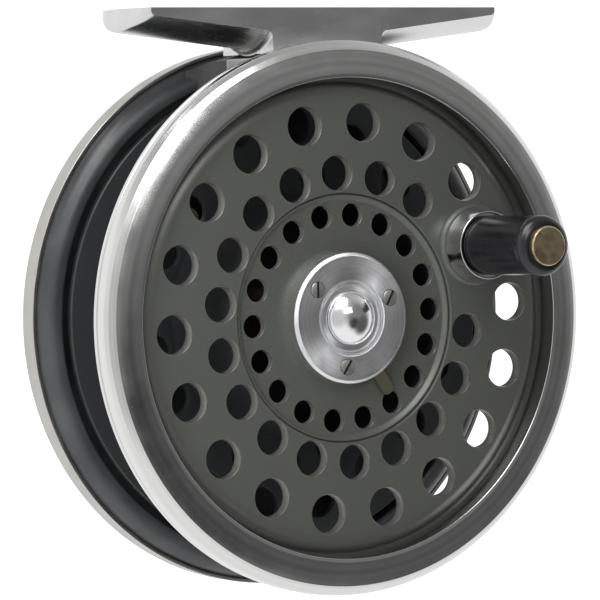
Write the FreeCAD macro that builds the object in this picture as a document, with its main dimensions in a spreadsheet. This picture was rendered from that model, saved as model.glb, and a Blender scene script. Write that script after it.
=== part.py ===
import FreeCAD, Part
import math
import os
import re
import Sketcher

# A 92 mm fly reel: a half-cage frame with a foot, a perforated spool, a double-pawl check and a handle.
#
# Every piece is drawn about the spool's axis, which runs along Y. Depth is counted from the spool's front
# face, positive towards the back plate. The part's origin is the middle of the foot's seat, so each piece
# is then moved down by seat_height and forward by seat_setback. Angles are seen from the front.

DRIVING_SIZES = {
    # where the seat of the foot lies from the centre of the spool's front face
    "seat_height": 51.5,
    "seat_setback": 12.0,
    # perforated front plate of the spool
    "plate_back": 2.1,
    "hub_face": 0.95,
    "step_inner": 20.3,
    "step_outer": 20.9,
    "plate_flat": 36.0,
    "plate_edge": 39.1,
    "edge_drop": 1.9,
    "edge_round": 3.5,
    "lip_back": 2.9,
    "lip_outer": 43.0,
    # three rings of holes
    "hole_turn": 22.63,
    "hole_step": 20.0,
    "outer_ring": 32.55,
    "outer_hole": 3.2,
    "middle_ring": 24.0,
    "middle_hole": 2.9,
    "inner_ring": 17.13,
    "inner_hole": 1.9,
    # polished rim
    "rim_outer": 46.0,
    "rim_inner": 39.7,
    "rim_front": -2.8,
    "rim_shoulder": 44.5,
    "rim_back": 3.2,
    # drum and rear plate
    "drum_outer": 20.8,
    "drum_wall": 1.3,
    "rear_front": 21.9,
    "rear_back": 23.1,
    "rear_outer": 39.85,
    # fixed spindle, its bush and its screw
    "spindle_radius": 3.2,
    "spindle_play": 0.05,
    "nose_radius": 3.0,
    "nose_front": -1.1,
    "catch_radius": 2.4,
    "catch_front": -0.1,
    "bush_front": 1.0,
    "bush_outer": 5.5,
    "spindle_flange": 5.0,
    "spindle_screw_shank": 2.0,
    "spindle_screw_head": 4.2,
    "spindle_screw_rise": 1.1,
    "spindle_screw_reach": 8.0,
    # frame
    "back_inner": 26.3,
    "back_outer": 28.0,
    "band_outer": 45.8,
    "band_front": 24.0,
    "step_radius": 45.1,
    "step_depth": 24.4,
    "bead_front": 22.0,
    "bead_crest": 42.0,
    "bead_inner": 41.1,
    "bead_round": 3.3,
    "bridge_front": 4.0,
    "bridge_half": 11.2,
    "bridge_top": 44.0,
    "bridge_inner": 41.2,
    # foot
    "foot_depth": 16.5,
    "foot_half_edge": 33.3,
    "foot_bulge": 2.5,
    "block_half": 10.6,
    "wing_edge": 1.24,
    "wing_slope": 6.8,
    "wing_sagitta": 2.8,
    "foot_screw_gap": 6.0,
    "foot_screw_shank": 1.25,
    "foot_screw_head": 2.3,
    "foot_screw_sink": 1.0,
    "foot_screw_reach": 5.0,
    # hub cap, dome and latch
    "cap_front": -1.9,
    "cap_outer": 10.9,
    "cap_bevel": 0.5,
    "cap_recess": 6.35,
    "recess_deep": 0.35,
    "dome_radius": 4.37,
    "dome_front": -4.3,
    "cap_screw_ring": 8.1,
    "cap_screw_head": 1.35,
    "cap_screw_shank": 0.8,
    "cap_screw_deep": 1.0,
    "latch_turn": -57.0,
    "latch_thick": 0.9,
    "latch_half": 3.7,
    "latch_rear": -5.2,
    "latch_shoulder": 7.0,
    "latch_tip": 15.3,
    "tongue_half": 1.1,
    "latch_travel": 1.2,
    "latch_play": 0.15,
    "latch_spring_length": 3.9,
    "latch_spring_low": 1.4,
    "latch_spring_high": 2.2,
    "window_radius": 3.2,
    "window_shift": 0.7,
    "window_room": 0.9,
    # handle
    "handle_ring": 28.1,
    "handle_turn": 23.7,
    "boss_radius": 6.7,
    "boss_rise": 0.9,
    "collar_radius": 6.2,
    "collar_mouth": 5.75,
    "collar_front": -4.5,
    "collar_cup": 5.35,
    "cup_floor": -3.8,
    "knob_radius": 5.1,
    "knob_base": -4.2,
    "knob_front": -21.5,
    "knob_round": 1.5,
    "pin_radius": 1.6,
    "pin_play": 0.06,
    "pin_head": 3.3,
    "pin_head_front": -22.3,
    "rivet_radius": 2.6,
    "rivet_rise": 0.7,
    # ratchet gear and check
    "gear_back": 25.1,
    "gear_outer": 11.0,
    "gear_root": 9.7,
    "gear_notch_half": 1.05,
    "gear_screw_ring": 7.6,
    "gear_screw": 0.8,
    "pawl_front": 23.9,
    "pawl_back": 25.5,
    "pivot_across": 12.7,
    "pivot_up": 13.2,
    "pivot_eye": 2.4,
    "post_radius": 1.2,
    "post_head": 2.0,
    "post_socket_back": 27.2,
    "spring_post_stem": 1.0,
    "nose_reach": 10.3,
    "lever_half": 1.2,
    "arm_low": 14.1,
    "arm_high": 15.7,
    "spring_post_across": 15.8,
    "spring_post_up": 16.8,
    "spring_post_radius": 1.8,
    "spring_thick": 0.35,
    "cam_up": 18.0,
    "cam_radius": 3.0,
    "cam_throw": 1.2,
    "shaft_radius": 1.5,
    "knob_disc": 5.0,
    "knob_disc_back": 31.4,
    "flute_radius": 0.6,
}

RING_HOLES = 18
GEAR_TEETH = 36
KNOB_FLUTES = 24
CAP_SCREW_SLOTS = (61.0, 90.0, 56.0)
SLOT_CORNERS = ((-1.6, -0.18), (1.6, -0.18), (1.6, 0.18), (-1.6, 0.18))

doc = FreeCAD.newDocument("fly_reel")
sheet = doc.addObject("Spreadsheet::Sheet", "Sizes")
pieces = []


# ---------------------------------------------------------------- the sheet and small drawing helpers

def fill_sheet():
    """Puts each driving size in a cell of its own, beside its name."""
    for row, (name, number) in enumerate(DRIVING_SIZES.items(), start=1):
        sheet.set(f"A{row}", name)
        sheet.set(f"B{row}", str(number))
        sheet.setAlias(f"B{row}", name)
    doc.recompute()


def tied(text):
    """Writes a rule such as "rim_outer - 0.5" as an expression on the sheet's cells."""
    return re.sub(r"[a-z_]+", lambda word: "Sizes." * (word.group() in DRIVING_SIZES) + word.group(), text)


def worked_out(text):
    """The number that a rule on the sheet gives now."""
    return float(sheet.evalExpression(tied(text).replace("Sizes.", "")))


def new_body(label, across="0", up="0"):
    """An empty body whose own origin is on the spool's front face, moved across and up from the axis."""
    body = doc.addObject("PartDesign::Body", label)
    body.Label = label
    body.setExpression("Placement.Base.x", tied(across))
    body.setExpression("Placement.Base.y", tied("-seat_setback"))
    body.setExpression("Placement.Base.z", tied(f"{up} - seat_height"))
    pieces.append(body)
    return body


def origin_part(body, role):
    """One of the body's own origin planes or axes."""
    return next(item for item in body.Origin.OriginFeatures if item.Role == role)


def new_sketch(body, role, lift="0", turn="0"):
    """A sketch on an origin plane, lifted along the plane's normal and turned in the plane."""
    sketch = body.newObject("Sketcher::SketchObject", "Sketch")
    sketch.AttachmentSupport = [(origin_part(body, role), "")]
    sketch.MapMode = "FlatFace"
    sketch.setExpression("AttachmentOffset.Base.z", tied(lift))
    sketch.setExpression("AttachmentOffset.Rotation.Angle", tied(turn))
    return sketch


def front_sketch(body, depth="0", turn="0"):
    """A sketch seen from the front, X across and Z up, at a depth behind the spool's front face."""
    return new_sketch(body, "XZ_Plane", f"-({depth})", turn)


def side_sketch(body):
    """A sketch of a turned profile: depth along the spool's axis, then radius."""
    return new_sketch(body, "YZ_Plane")


def pin_point(sketch, geometry, end, across, up):
    """Fixes a point of the sketch at a place ruled by the sheet."""
    for kind, rule in (("DistanceX", across), ("DistanceY", up)):
        number = worked_out(rule)
        index = sketch.addConstraint(Sketcher.Constraint(kind, -1, 1, geometry, end, number))
        sketch.setExpression(f"Constraints[{index}]", tied(rule))


def bowed_arc(start, finish, radius):
    """An arc from start to finish, bowed to the right of that way, or to the left if radius is negative."""
    chord = finish - start
    right = FreeCAD.Vector(chord.y, -chord.x, 0).normalize()
    inset = math.sqrt(radius ** 2 - (chord.Length / 2) ** 2)
    centre = (start + finish) / 2 - right * math.copysign(inset, radius)
    first, last = (start, finish) if radius > 0 else (finish, start)
    begin = math.atan2(first.y - centre.y, first.x - centre.x)
    sweep = (math.atan2(last.y - centre.y, last.x - centre.x) - begin) % (2 * math.pi)
    circle = Part.Circle(centre, FreeCAD.Vector(0, 0, 1), abs(radius))
    return Part.ArcOfCircle(circle, begin, begin + sweep)


def draw_outline(sketch, corners):
    """Draws a closed outline. A corner with a third value is reached by an arc of that radius.

    A positive radius bows the arc to the right of the way the outline runs, a negative one to the left.
    """
    places = [FreeCAD.Vector(worked_out(corner[0]), worked_out(corner[1]), 0) for corner in corners]
    made = []
    for index, corner in enumerate(corners):
        start = places[index - 1]
        finish = places[index]
        if len(corner) == 2:
            made.append((sketch.addGeometry(Part.LineSegment(start, finish)), 1, 2))
            continue
        radius = worked_out(corner[2])
        geometry = sketch.addGeometry(bowed_arc(start, finish, radius))
        made.append((geometry, 1, 2) if radius > 0 else (geometry, 2, 1))
        index_of_size = sketch.addConstraint(Sketcher.Constraint("Radius", geometry, abs(radius)))
        sketch.setExpression(f"Constraints[{index_of_size}]", f"abs({tied(corner[2])})")
    for index, (geometry, begin, end) in enumerate(made):
        pin_point(sketch, geometry, end, *corners[index][:2])
        following = made[(index + 1) % len(made)]
        sketch.addConstraint(Sketcher.Constraint("Coincident", geometry, end, following[0], following[1]))


def draw_circle(sketch, across, up, radius):
    """Draws a circle whose centre and radius follow the sheet."""
    centre = FreeCAD.Vector(worked_out(across), worked_out(up), 0)
    geometry = sketch.addGeometry(Part.Circle(centre, FreeCAD.Vector(0, 0, 1), worked_out(radius)))
    index = sketch.addConstraint(Sketcher.Constraint("Radius", geometry, worked_out(radius)))
    sketch.setExpression(f"Constraints[{index}]", tied(radius))
    pin_point(sketch, geometry, 3, across, up)


def draw_box(sketch, left, right, low, high):
    """Draws an upright rectangle."""
    draw_outline(sketch, [(left, low), (right, low), (right, high), (left, high)])


def revolve(body, corners):
    """Turns a profile of (depth, radius) corners about the spool's axis."""
    sketch = side_sketch(body)
    draw_outline(sketch, corners)
    feature = body.newObject("PartDesign::Revolution", "Revolution")
    feature.Profile = sketch
    feature.ReferenceAxis = (sketch, ["H_Axis"])
    feature.Angle = 360
    return feature


def pad(body, sketch, thick):
    """Raises a front sketch backwards, away from the front of the reel."""
    feature = body.newObject("PartDesign::Pad", "Pad")
    feature.Profile = sketch
    feature.setExpression("Length", tied(thick))
    feature.Reversed = True
    return feature


def cut_through(body, sketch):
    """Cuts a sketch right through the body, both ways."""
    feature = body.newObject("PartDesign::Pocket", "Pocket")
    feature.Profile = sketch
    feature.Type = "ThroughAll"
    feature.SideType = "Symmetric"
    return feature


def cut_back(body, sketch, deep):
    """Cuts a front sketch backwards to a depth."""
    feature = body.newObject("PartDesign::Pocket", "Pocket")
    feature.Profile = sketch
    feature.setExpression("Length", tied(deep))
    return feature


def repeat_round(body, feature, count, sweep=360.0):
    """Repeats a feature round the spool's axis, clockwise from the front."""
    pattern = body.newObject("PartDesign::PolarPattern", "PolarPattern")
    pattern.Originals = [feature]
    pattern.Axis = (origin_part(body, "Y_Axis"), [""])
    pattern.Angle = sweep
    pattern.Occurrences = count
    body.Tip = pattern
    return pattern


def hole_ring(body, ring, radius, first_turn, count, sweep=360.0):
    """Drills a ring of round holes, the first one at an angle from the horizontal."""
    sketch = front_sketch(body, turn=first_turn)
    draw_circle(sketch, ring, "0", radius)
    return repeat_round(body, cut_through(body, sketch), count, sweep)


# ---------------------------------------------------------------- the spool

def make_front_plate():
    """The perforated face: a dished hub, a rolled edge, a lip for the rim and a boss for the handle."""
    body = new_body("spool_front_plate")
    revolve(body, [
        ("hub_face", "bush_outer"),
        ("hub_face", "step_inner"),
        ("0", "step_outer"),
        ("0", "plate_flat"),
        ("edge_drop", "plate_edge", "-edge_round"),
        ("edge_drop", "lip_outer"),
        ("lip_back", "lip_outer"),
        ("lip_back", "plate_flat + 1.4"),
        ("plate_back", "plate_flat + 0.5"),
        ("plate_back", "bush_outer"),
    ])
    boss = front_sketch(body, "-boss_rise")
    draw_circle(boss, "handle_ring * cos(handle_turn)", "handle_ring * sin(handle_turn)", "boss_radius")
    pad(body, boss, "boss_rise + 0.1")
    step = worked_out("hole_step")
    outer_sweep = step * (RING_HOLES - 2)
    middle_sweep = step * (RING_HOLES - 3)
    hole_ring(body, "outer_ring", "outer_hole", "hole_turn - hole_step", RING_HOLES - 1, outer_sweep)
    hole_ring(body, "middle_ring", "middle_hole", "hole_turn - 1.5 * hole_step", RING_HOLES - 2, middle_sweep)
    hole_ring(body, "inner_ring", "inner_hole", "hole_turn", RING_HOLES)
    bore = front_sketch(body)
    draw_circle(bore, "handle_ring * cos(handle_turn)", "handle_ring * sin(handle_turn)", "pin_radius")
    cut_through(body, bore)
    screws = front_sketch(body, turn="hole_turn")
    draw_circle(screws, "cap_screw_ring", "0", "cap_screw_shank")
    repeat_round(body, cut_through(body, screws), 3)


def make_rim():
    """The polished ring that is pressed over the plate's lip."""
    body = new_body("spool_rim")
    revolve(body, [
        ("edge_drop", "rim_inner"),
        ("rim_front + 0.2", "rim_inner"),
        ("rim_front", "rim_inner + 0.2"),
        ("rim_front + 0.7", "rim_shoulder", "-14"),
        ("-0.5", "rim_outer", "-2.2"),
        ("0.9", "rim_outer"),
        ("1.1", "rim_outer - 0.5"),
        ("1.4", "rim_outer - 0.5"),
        ("1.6", "rim_outer - 0.1"),
        ("rim_back", "rim_outer - 0.7", "-1.8"),
        ("rim_back", "lip_outer"),
        ("edge_drop", "lip_outer"),
    ])


def make_drum():
    """The arbor: a plain tube between the plates that the line is wound on."""
    body = new_body("spool_drum")
    revolve(body, [
        ("plate_back", "drum_outer - drum_wall"),
        ("plate_back", "drum_outer"),
        ("rear_front", "drum_outer"),
        ("rear_front", "drum_outer - drum_wall"),
    ])


def make_rear_plate():
    """The perforated rear flange."""
    body = new_body("spool_rear_plate")
    revolve(body, [
        ("rear_front", "bush_outer"),
        ("rear_front", "rear_outer - 0.3"),
        ("rear_front + 0.3", "rear_outer"),
        ("rear_back - 0.3", "rear_outer"),
        ("rear_back", "rear_outer - 0.3"),
        ("rear_back", "bush_outer"),
    ])
    hole_ring(body, "outer_ring", "outer_hole", "hole_turn", RING_HOLES)
    hole_ring(body, "middle_ring + 0.4", "middle_hole - 0.2", "hole_turn + 0.5 * hole_step", RING_HOLES)
    hole_ring(body, "gear_screw_ring", "gear_screw", "90", 3)


def make_bush():
    """The bronze sleeve that runs on the spindle."""
    body = new_body("spindle_bush")
    revolve(body, [
        ("bush_front", "spindle_radius + spindle_play"),
        ("bush_front", "bush_outer"),
        ("rear_back", "bush_outer"),
        ("rear_back", "spindle_radius + spindle_play"),
    ])


def make_gear():
    """The ratchet wheel behind the rear plate, with a vee between its teeth for the pawls' noses."""
    body = new_body("ratchet_gear")
    revolve(body, [
        ("rear_back", "spindle_flange + 0.3"),
        ("rear_back", "gear_outer"),
        ("gear_back", "gear_outer"),
        ("gear_back", "spindle_flange + 0.3"),
    ])
    notch = front_sketch(body)
    draw_outline(notch, [
        ("gear_root", "0"),
        ("gear_outer + 0.5", "gear_notch_half"),
        ("gear_outer + 0.5", "-gear_notch_half"),
    ])
    repeat_round(body, cut_through(body, notch), GEAR_TEETH)
    hole_ring(body, "gear_screw_ring", "gear_screw", "90", 3)


def make_gear_screws():
    """Three screws that hold the ratchet wheel to the rear plate, sunk flush in the wheel."""
    body = new_body("gear_screws")
    sketch = front_sketch(body, "rear_front", "90")
    draw_circle(sketch, "gear_screw_ring", "0", "gear_screw")
    repeat_round(body, pad(body, sketch, "gear_back - rear_front"), 3)


# ---------------------------------------------------------------- the hub

def make_hub_cap():
    """The polished cap, hollowed from behind for the latch plate and its spring."""
    body = new_body("hub_cap")
    revolve(body, [
        ("hub_face", "dome_radius + 0.03"),
        ("cap_front + recess_deep", "dome_radius + 0.03"),
        ("cap_front + recess_deep", "cap_recess"),
        ("cap_front", "cap_recess + 0.2"),
        ("cap_front", "cap_outer - cap_bevel"),
        ("cap_front + cap_bevel", "cap_outer"),
        ("hub_face", "cap_outer"),
    ])
    room = "hub_face - (catch_front - 0.1)"
    channel = front_sketch(body, "catch_front - 0.1", "latch_turn")
    draw_box(channel, "latch_rear - latch_travel - 0.2", "latch_shoulder + 0.2",
             "-latch_half - latch_play", "latch_half + latch_play")
    cut_back(body, channel, room)
    slot = front_sketch(body, "catch_front - 0.1", "latch_turn")
    draw_box(slot, "latch_shoulder", "cap_outer + 1", "-tongue_half - latch_play", "tongue_half + latch_play")
    cut_back(body, slot, room)
    spring_room = front_sketch(body, "catch_front - 0.1", "latch_turn")
    draw_box(spring_room, "latch_rear - latch_spring_length - 0.1", "latch_rear - 1",
             "latch_spring_low - 0.8", "latch_spring_high + 0.8")
    cut_back(body, spring_room, room)
    shanks = front_sketch(body, turn="hole_turn")
    draw_circle(shanks, "cap_screw_ring", "0", "cap_screw_shank")
    repeat_round(body, cut_through(body, shanks), 3)
    heads = front_sketch(body, "cap_front", "hole_turn")
    draw_circle(heads, "cap_screw_ring", "0", "cap_screw_head")
    repeat_round(body, cut_back(body, heads, "cap_screw_deep"), 3)


def make_cap_screws():
    """Three slotted screws, heads flush with the cap, threaded into the front plate."""
    body = new_body("cap_screws")
    head = front_sketch(body, "cap_front", "hole_turn")
    draw_circle(head, "cap_screw_ring", "0", "cap_screw_head")
    repeat_round(body, pad(body, head, "cap_screw_deep"), 3)
    shank = front_sketch(body, "cap_front + cap_screw_deep - 0.1", "hole_turn")
    draw_circle(shank, "cap_screw_ring", "0", "cap_screw_shank")
    repeat_round(body, pad(body, shank, "plate_back - cap_front - cap_screw_deep + 0.1"), 3)
    for index, slot_turn in enumerate(CAP_SCREW_SLOTS):
        place = f"(hole_turn + {120 * index})"
        turn = math.radians(slot_turn)
        slot = front_sketch(body, "cap_front")
        centre = (f"cap_screw_ring * cos{place}", f"cap_screw_ring * sin{place}")
        draw_outline(slot, [
            (f"{centre[0]} + {along * math.cos(turn) - aside * math.sin(turn):.4f}",
             f"{centre[1]} + {along * math.sin(turn) + aside * math.cos(turn):.4f}")
            for along, aside in SLOT_CORNERS
        ])
        cut_back(body, slot, "0.45")


def make_dome():
    """The bright dome pressed into the middle of the cap."""
    body = new_body("dome_cap")
    rise = "(cap_front - 0.3 - dome_front)"
    revolve(body, [
        ("dome_front", "0"),
        ("cap_front - 0.3", "dome_radius", f"-(dome_radius ^ 2 + {rise} ^ 2) / (2 * {rise})"),
        ("nose_front - 0.2", "dome_radius"),
        ("nose_front - 0.2", "0"),
    ])


def make_latch():
    """The sliding catch plate: its window holds the spindle's groove, its tongue shows under the cap."""
    body = new_body("spool_latch")
    sketch = front_sketch(body, "catch_front + 0.05", "latch_turn")
    draw_outline(sketch, [
        ("latch_rear", "-latch_half"),
        ("latch_shoulder", "-latch_half"),
        ("latch_shoulder + 0.01", "-tongue_half"),
        ("latch_tip - 0.6", "-tongue_half"),
        ("latch_tip", "-tongue_half + 0.6"),
        ("latch_tip", "tongue_half - 0.6"),
        ("latch_tip - 0.6", "tongue_half"),
        ("latch_shoulder + 0.01", "tongue_half"),
        ("latch_shoulder", "latch_half"),
        ("latch_rear", "latch_half"),
    ])
    pad(body, sketch, "latch_thick")
    for along in ("window_shift", "window_shift + window_room"):
        window = front_sketch(body, turn="latch_turn")
        draw_circle(window, along, "0", "window_radius")
        cut_through(body, window)
    middle = front_sketch(body, turn="latch_turn")
    draw_box(middle, "window_shift", "window_shift + window_room", "-window_radius", "window_radius")
    cut_through(body, middle)


def make_latch_spring():
    """The small spring that pushes the catch plate outwards, drawn as a plain bar."""
    body = new_body("latch_spring")
    sketch = front_sketch(body, "catch_front + 0.1", "latch_turn")
    draw_box(sketch, "latch_rear - latch_spring_length", "latch_rear",
             "latch_spring_low", "latch_spring_high")
    pad(body, sketch, "latch_spring_high - latch_spring_low")


# ---------------------------------------------------------------- the handle

def handle_body(label):
    """A body centred on the handle's own spindle."""
    return new_body(label, "handle_ring * cos(handle_turn)", "handle_ring * sin(handle_turn)")


def make_collar():
    """The polished cup under the knob."""
    revolve(handle_body("handle_collar"), [
        ("-boss_rise", "pin_radius"),
        ("cup_floor", "pin_radius"),
        ("cup_floor", "collar_cup"),
        ("collar_front", "collar_cup"),
        ("collar_front", "collar_mouth"),
        ("-boss_rise", "collar_radius"),
    ])


def make_handle_washer():
    """A thin washer that the knob runs against."""
    revolve(handle_body("handle_washer"), [
        ("cup_floor", "pin_radius"),
        ("knob_base + 0.1", "pin_radius"),
        ("knob_base + 0.1", "collar_cup - 2.2"),
        ("cup_floor", "collar_cup - 2.2"),
    ])


def make_handle_spindle():
    """The brass pin: riveted behind the plate, with a broad round head in the knob's end."""
    revolve(handle_body("handle_spindle"), [
        ("plate_back + rivet_rise", "0"),
        ("plate_back + rivet_rise", "rivet_radius - 0.4"),
        ("plate_back", "rivet_radius"),
        ("plate_back", "pin_radius"),
        ("knob_front + 0.9", "pin_radius"),
        ("knob_front + 0.9", "pin_head"),
        ("pin_head_front + 0.4", "pin_head"),
        ("pin_head_front", "pin_head - 0.5", "0.7"),
        ("pin_head_front", "0"),
    ])


def make_handle_knob():
    """The black knob: a straight barrel with a rounded end and a recess for the pin's head."""
    revolve(handle_body("handle_knob"), [
        ("knob_base", "pin_radius + pin_play"),
        ("knob_base", "knob_radius - 0.2"),
        ("knob_base - 0.2", "knob_radius"),
        ("knob_front + knob_round", "knob_radius"),
        ("knob_front", "knob_radius - knob_round", "knob_round"),
        ("knob_front", "pin_head + 0.1"),
        ("knob_front + 1.0", "pin_head + 0.1"),
        ("knob_front + 1.0", "pin_radius + pin_play"),
    ])


# ---------------------------------------------------------------- the frame

def make_frame():
    """Back plate, outer band, rounded inner bead and the bridge that carries the foot: one casting."""
    body = new_body("reel_frame")
    revolve(body, [
        ("back_outer", "spindle_screw_shank + 0.1"),
        ("back_outer", "band_outer - 0.6"),
        ("back_outer - 0.6", "band_outer"),
        ("band_front", "band_outer"),
        ("band_front + 0.1", "band_outer - 0.4"),
        ("step_depth", "step_radius"),
        ("bead_front", "bead_crest", "bead_round"),
        ("bead_front + 0.3", "bead_inner"),
        ("back_inner", "bead_inner"),
        ("back_inner", "spindle_screw_shank + 0.1"),
    ])
    bridge = front_sketch(body, "bridge_front")
    low_edge = "sqrt(bridge_inner ^ 2 - bridge_half ^ 2)"
    draw_outline(bridge, [
        ("bridge_half", "bridge_top"),
        ("-bridge_half", "bridge_top"),
        ("-bridge_half", low_edge),
        ("bridge_half", low_edge, "-bridge_inner"),
    ])
    pad(body, bridge, "step_depth + 0.5 - bridge_front")
    for side in ("-", ""):
        place_holes(body, f"{side}pivot_across", "pivot_up", "post_radius")
        place_holes(body, f"{side}spring_post_across", "spring_post_up", "spring_post_stem")
    shaft = front_sketch(body)
    draw_circle(shaft, "0", "cam_up", "shaft_radius + 0.05")
    cut_through(body, shaft)
    drill_foot_holes(body)


def place_holes(body, across, up, radius):
    """A blind hole into the inner face of the back plate."""
    sketch = front_sketch(body, "back_inner")
    draw_circle(sketch, across, up, radius)
    cut_back(body, sketch, "post_socket_back - back_inner")


def drill_foot_holes(body):
    """Two upright holes through the bridge, countersunk for the foot's screws."""
    for side in ("-", ""):
        for radius, top in (("foot_screw_shank", "bridge_top + 1"),
                            ("foot_screw_head", "bridge_top - foot_screw_sink")):
            sketch = new_sketch(body, "XY_Plane", top)
            draw_circle(sketch, f"{side}foot_screw_gap", "seat_setback", radius)
            cut_down(body, sketch, "foot_screw_reach")


def cut_down(body, sketch, deep):
    """Cuts a flat sketch downwards."""
    feature = body.newObject("PartDesign::Pocket", "Pocket")
    feature.Profile = sketch
    feature.setExpression("Length", tied(deep))
    return feature


def make_foot():
    """The foot: a block with two tapering wings, rounded underneath like a rod and in plan at the ends."""
    body = new_body("reel_foot")
    half_depth = "foot_depth / 2"
    front = f"seat_setback - {half_depth}"
    back = f"seat_setback + {half_depth}"
    end_round = "(foot_depth ^ 2 / 4 + foot_bulge ^ 2) / (2 * foot_bulge)"
    plan = new_sketch(body, "XY_Plane", "bridge_top")
    draw_outline(plan, [
        ("foot_half_edge", front),
        ("foot_half_edge", back, end_round),
        ("-foot_half_edge", back),
        ("-foot_half_edge", front, end_round),
    ])
    block = body.newObject("PartDesign::Pad", "Pad")
    block.Profile = plan
    block.setExpression("Length", tied("seat_height - bridge_top"))
    wing = carve_wing(body)
    other = body.newObject("PartDesign::Mirrored", "Mirrored")
    other.Originals = [wing]
    other.MirrorPlane = (origin_part(body, "YZ_Plane"), [""])
    body.Tip = other
    for side in ("-", ""):
        hole = new_sketch(body, "XY_Plane", "seat_height - 2.5")
        draw_circle(hole, f"{side}foot_screw_gap", "seat_setback", "foot_screw_shank")
        cut_down(body, hole, "foot_screw_reach + 5")


def carve_wing(body):
    """Cuts away what lies below one wing: outside a long cylinder that slopes up towards the wing's end."""
    belly = "((foot_depth ^ 2 / 4 + wing_sagitta ^ 2) / (2 * wing_sagitta))"
    slope = "tan(wing_slope)"
    low = "(seat_height - wing_edge - wing_sagitta)"
    root = "block_half"
    end = "(foot_half_edge + 6)"
    sketch = new_sketch(body, "XZ_Plane", "-seat_setback")
    root_height = f"{low} - {slope} * (foot_half_edge - {root})"
    end_height = f"{low} + {slope} * ({end} - foot_half_edge)"
    draw_outline(sketch, [
        (root, root_height),
        (root, f"{root_height} - 12"),
        (end, f"{end_height} - 12"),
        (end, end_height),
    ])
    lift = f"{belly} / cos(wing_slope)"
    axis = sketch.addGeometry(Part.LineSegment(
        FreeCAD.Vector(worked_out(root), worked_out(f"{root_height} + {lift}"), 0),
        FreeCAD.Vector(worked_out(end), worked_out(f"{end_height} + {lift}"), 0)), True)
    pin_point(sketch, axis, 1, root, f"{root_height} + {lift}")
    pin_point(sketch, axis, 2, end, f"{end_height} + {lift}")
    feature = body.newObject("PartDesign::Groove", "Groove")
    feature.Profile = sketch
    feature.ReferenceAxis = (sketch, ["Axis0"])
    feature.Angle = 360
    return feature


def make_foot_screws():
    """Two screws up through the bridge into the foot."""
    body = new_body("foot_screws")
    for side in ("-", ""):
        for radius, base, tall in (
                ("foot_screw_head", "bridge_top - foot_screw_sink - 1.3", "1.3"),
                ("foot_screw_shank", "bridge_top - foot_screw_sink - 0.1", "foot_screw_reach")):
            sketch = new_sketch(body, "XY_Plane", base)
            draw_circle(sketch, f"{side}foot_screw_gap", "seat_setback", radius)
            feature = body.newObject("PartDesign::Pad", "Pad")
            feature.Profile = sketch
            feature.setExpression("Length", tied(tall))


def make_spindle():
    """The fixed shaft: a flange on the back plate, a long journal and a grooved nose for the latch."""
    revolve(new_body("spindle"), [
        ("back_inner", "spindle_screw_shank"),
        ("back_inner", "spindle_flange"),
        ("gear_back + 0.3", "spindle_flange"),
        ("gear_back + 0.3", "spindle_radius"),
        ("bush_front", "spindle_radius"),
        ("bush_front", "catch_radius"),
        ("catch_front - 0.05", "catch_radius"),
        ("catch_front - 0.05", "nose_radius"),
        ("nose_front + 0.4", "nose_radius"),
        ("nose_front", "nose_radius - 0.5"),
        ("nose_front", "0"),
        ("back_inner - spindle_screw_reach", "0"),
        ("back_inner - spindle_screw_reach", "spindle_screw_shank"),
    ])


def make_spindle_screw():
    """The slotted screw in the middle of the back."""
    body = new_body("spindle_screw")
    revolve(body, [
        ("back_inner - spindle_screw_reach", "0"),
        ("back_inner - spindle_screw_reach", "spindle_screw_shank"),
        ("back_outer", "spindle_screw_shank"),
        ("back_outer", "spindle_screw_head"),
        ("back_outer + spindle_screw_rise - 0.3", "spindle_screw_head - 0.2"),
        ("back_outer + spindle_screw_rise", "spindle_screw_head - 0.8"),
        ("back_outer + spindle_screw_rise", "0"),
    ])
    slot = front_sketch(body, "back_outer + 0.5", "30")
    draw_box(slot, "-spindle_screw_head - 1", "spindle_screw_head + 1", "-0.4", "0.4")
    cut_back(body, slot, "2")


# ---------------------------------------------------------------- the check

def draw_pawl(sketch, side):
    """A bell-crank lever: an eye, an arm towards the cam and a long limb with a nose for the ratchet."""
    corners = [
        ("pivot_eye - 0.4", "arm_low - pivot_up"),
        ("pivot_across - 0.8", "arm_low - pivot_up"),
        ("pivot_across - 0.8", "arm_high - pivot_up"),
        ("0", "arm_high - pivot_up + 0.1"),
        ("-pivot_eye", "0"),
        ("-lever_half", "-pivot_up - 2.2"),
        ("lever_half", "-pivot_up - 2.2"),
        ("lever_half", "-pivot_up - 0.9"),
        ("pivot_across - nose_reach", "-pivot_up"),
        ("lever_half", "-pivot_up + 0.9"),
        ("lever_half", "-4"),
    ]
    if side < 0:
        draw_outline(sketch, corners)
    else:
        draw_outline(sketch, [(f"-({across})", up) for across, up in corners])


def make_pawl(label, side):
    """One check pawl on its post."""
    body = new_body(label, "pivot_across" if side > 0 else "-pivot_across", "pivot_up")
    lever = front_sketch(body, "pawl_front")
    draw_pawl(lever, side)
    pad(body, lever, "pawl_back - pawl_front")
    eye = front_sketch(body)
    draw_circle(eye, "0", "0", "post_radius + 0.06")
    cut_through(body, eye)


def make_pawl_posts():
    """Two headed pins pressed into the back plate."""
    body = new_body("pawl_posts")
    for side in ("-", ""):
        for radius, front, back in (("post_head", "pawl_front - 0.45", "pawl_front - 0.1"),
                                    ("post_radius", "pawl_front - 0.2", "post_socket_back")):
            sketch = front_sketch(body, front)
            draw_circle(sketch, f"{side}pivot_across", "pivot_up", radius)
            pad(body, sketch, f"{back} - ({front})")


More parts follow.
